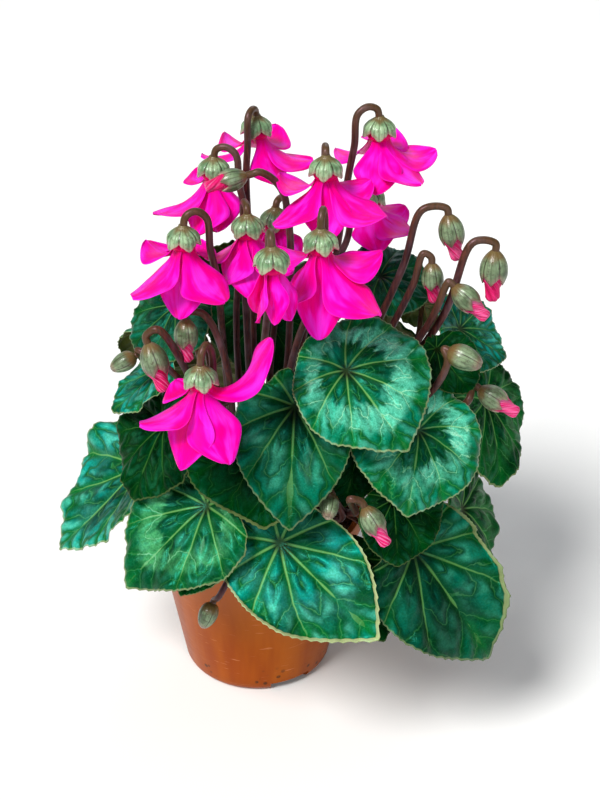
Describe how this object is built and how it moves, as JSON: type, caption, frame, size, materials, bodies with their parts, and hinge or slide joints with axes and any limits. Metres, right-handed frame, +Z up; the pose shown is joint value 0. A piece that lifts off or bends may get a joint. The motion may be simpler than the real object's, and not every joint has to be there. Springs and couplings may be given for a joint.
{
  "type": "potted cyclamen",
  "caption": "Flowering cyclamen in a small plastic nursery pot, with marbled heart-shaped leaves, nodding pink flowers and buds on curved stems.",
  "frame": {"origin": "centre of the pot's base, on the ground", "axes": "+Z up, -Y towards the viewer of the picture"},
  "size_m": [0.2592, 0.2339, 0.3396],
  "materials": {
    "pot": "satin, moulded",
    "soil": "crumbly potting mix",
    "tuber": "corky",
    "flower_01_stem": "satin stem and calyx",
    "flower_01_petals": "satin petal",
    "flower_02_stem": "satin stem and calyx",
    "flower_02_petals": "satin petal",
    "flower_03_stem": "satin stem and calyx",
    "flower_03_petals": "satin petal",
    "flower_04_stem": "satin stem and calyx",
    "flower_04_petals": "satin petal",
    "flower_05_stem": "satin stem and calyx",
    "flower_05_petals": "satin petal",
    "flower_06_stem": "satin stem and calyx",
    "flower_06_petals": "satin petal",
    "flower_07_stem": "satin stem and calyx",
    "flower_07_petals": "satin petal",
    "flower_08_stem": "satin stem and calyx",
    "flower_08_petals": "satin petal",
    "flower_09_stem": "satin stem and calyx",
    "flower_09_petals": "satin petal",
    "flower_10_stem": "satin stem and calyx",
    "flower_10_petals": "satin petal",
    "flower_11_stem": "satin stem and calyx",
    "flower_11_petals": "satin petal",
    "leaf_24": "waxy leaf",
    "leaf_21": "waxy leaf",
    "leaf_23": "waxy leaf",
    "leaf_06": "waxy leaf",
    "leaf_31": "waxy leaf",
    "leaf_28": "waxy leaf",
    "leaf_05": "waxy leaf",
    "leaf_08": "waxy leaf",
    "leaf_30": "waxy leaf",
    "leaf_29": "waxy leaf",
    "leaf_07": "waxy leaf",
    "leaf_22": "waxy leaf",
    "leaf_20": "waxy leaf",
    "leaf_09": "waxy leaf",
    "leaf_10": "waxy leaf",
    "leaf_04": "waxy leaf",
    "leaf_27": "waxy leaf",
    "leaf_02": "waxy leaf",
    "leaf_25": "waxy leaf",
    "leaf_11": "waxy leaf",
    "leaf_03": "waxy leaf",
    "leaf_26": "waxy leaf",
    "leaf_19": "waxy leaf",
    "leaf_16": "waxy leaf",
    "leaf_17": "waxy leaf",
    "leaf_13": "waxy leaf",
    "leaf_18": "waxy leaf",
    "leaf_12": "waxy leaf",
    "leaf_01": "waxy leaf",
    "leaf_15": "waxy leaf",
    "buds_right": "satin stem and bud",
    "buds_front": "satin stem and bud",
    "buds_left": "satin stem and bud",
    "buds_side": "satin stem and bud",
    "buds_top": "satin stem and bud"
  },
  "bodies": {
    "root": {"pot": "pot", "soil": "soil", "tuber": "tuber", "flower_01_stem": "flower_01_stem", "flower_01_petals": "flower_01_petals", "flower_02_stem": "flower_02_stem", "flower_02_petals": "flower_02_petals", "flower_03_stem": "flower_03_stem", "flower_03_petals": "flower_03_petals", "flower_04_stem": "flower_04_stem", "flower_04_petals": "flower_04_petals", "flower_05_stem": "flower_05_stem", "flower_05_petals": "flower_05_petals", "flower_06_stem": "flower_06_stem", "flower_06_petals": "flower_06_petals", "flower_07_stem": "flower_07_stem", "flower_07_petals": "flower_07_petals", "flower_08_stem": "flower_08_stem", "flower_08_petals": "flower_08_petals", "flower_09_stem": "flower_09_stem", "flower_09_petals": "flower_09_petals", "flower_10_stem": "flower_10_stem", "flower_10_petals": "flower_10_petals", "flower_11_stem": "flower_11_stem", "flower_11_petals": "flower_11_petals", "leaf_24": "leaf_24", "leaf_21": "leaf_21", "leaf_23": "leaf_23", "leaf_06": "leaf_06", "leaf_31": "leaf_31", "leaf_28": "leaf_28", "leaf_05": "leaf_05", "leaf_08": "leaf_08", "leaf_30": "leaf_30", "leaf_29": "leaf_29", "leaf_07": "leaf_07", "leaf_22": "leaf_22", "leaf_20": "leaf_20", "leaf_09": "leaf_09", "leaf_10": "leaf_10", "leaf_04": "leaf_04", "leaf_27": "leaf_27", "leaf_02": "leaf_02", "leaf_25": "leaf_25", "leaf_11": "leaf_11", "leaf_03": "leaf_03", "leaf_26": "leaf_26", "leaf_19": "leaf_19", "leaf_16": "leaf_16", "leaf_17": "leaf_17", "leaf_13": "leaf_13", "leaf_18": "leaf_18", "leaf_12": "leaf_12", "leaf_01": "leaf_01", "leaf_15": "leaf_15", "buds_right": "buds_right", "buds_front": "buds_front", "buds_left": "buds_left", "buds_side": "buds_side", "buds_top": "buds_top"}
  },
  "joints": []
}
